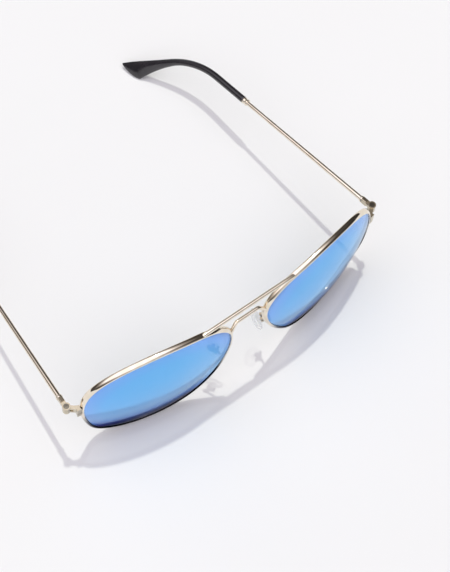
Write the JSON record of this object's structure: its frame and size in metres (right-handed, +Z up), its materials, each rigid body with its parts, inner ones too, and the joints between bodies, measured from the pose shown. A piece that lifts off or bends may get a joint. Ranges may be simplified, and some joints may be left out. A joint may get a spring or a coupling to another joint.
{
  "type": "aviator sunglasses",
  "caption": "Metal aviator sunglasses with blue mirrored teardrop lenses, a double bridge, rocking clear nose pads and folding wire temples with black curved tips.",
  "frame": {"origin": "centre of the footprint on the table, with the glasses open and standing on the rims and the temple tips", "axes": "+X to the wearer's left, across the lenses; the lenses face -Y and the temples run to +Y; +Z up"},
  "size_m": [0.1402, 0.1358, 0.0517],
  "materials": {
    "frame_metal": "polished champagne-gold plating",
    "screw_metal": "plated",
    "mirror_lens": "blue flash mirror over a grey lens",
    "clear_pad": "clear silicone",
    "black_tip": "polished acetate"
  },
  "bodies": {
    "front": {"left_rim": "frame_metal", "left_lens": "mirror_lens", "left_end_piece": "frame_metal", "left_closing_block": "frame_metal", "left_rim_screw": "screw_metal", "left_hinge_screw": "screw_metal", "left_pad_arm": "frame_metal", "left_pad_box": "frame_metal", "left_pad_screw": "screw_metal", "right_rim": "frame_metal", "right_lens": "mirror_lens", "right_end_piece": "frame_metal", "right_closing_block": "frame_metal", "right_rim_screw": "screw_metal", "right_hinge_screw": "screw_metal", "right_pad_arm": "frame_metal", "right_pad_box": "frame_metal", "right_pad_screw": "screw_metal", "brow_bar": "frame_metal", "lower_bridge": "frame_metal"},
    "left_temple": {"left_temple_hinge": "frame_metal", "left_ferrule": "frame_metal", "left_temple_wire": "frame_metal", "left_collar": "frame_metal", "left_temple_tip": "black_tip"},
    "left_pad": {"left_nose_pad": "clear_pad", "left_pad_insert": "screw_metal"},
    "right_temple": {"right_temple_hinge": "frame_metal", "right_ferrule": "frame_metal", "right_temple_wire": "frame_metal", "right_collar": "frame_metal", "right_temple_tip": "black_tip"},
    "right_pad": {"right_nose_pad": "clear_pad", "right_pad_insert": "screw_metal"}
  },
  "joints": [
    {"name": "left_temple_fold", "type": "hinge", "parent": "front", "child": "left_temple", "pos_m": [0.0686, -0.05276, 0.0306], "axis": [0, 0, 1], "range_deg": [0, 77]},
    {"name": "right_temple_fold", "type": "hinge", "parent": "front", "child": "right_temple", "pos_m": [-0.0686, -0.05276, 0.0306], "axis": [0, 0, -1], "range_deg": [0, 70]},
    {"name": "left_pad_rock", "type": "hinge", "parent": "front", "child": "left_pad", "pos_m": [0.01067, -0.06184, 0.02204], "axis": [0.4811, 0.8767, 0], "range_deg": [-8, 8]},
    {"name": "right_pad_rock", "type": "hinge", "parent": "front", "child": "right_pad", "pos_m": [-0.01067, -0.06184, 0.02204], "axis": [-0.4811, 0.8767, 0], "range_deg": [-8, 8]}
  ]
}
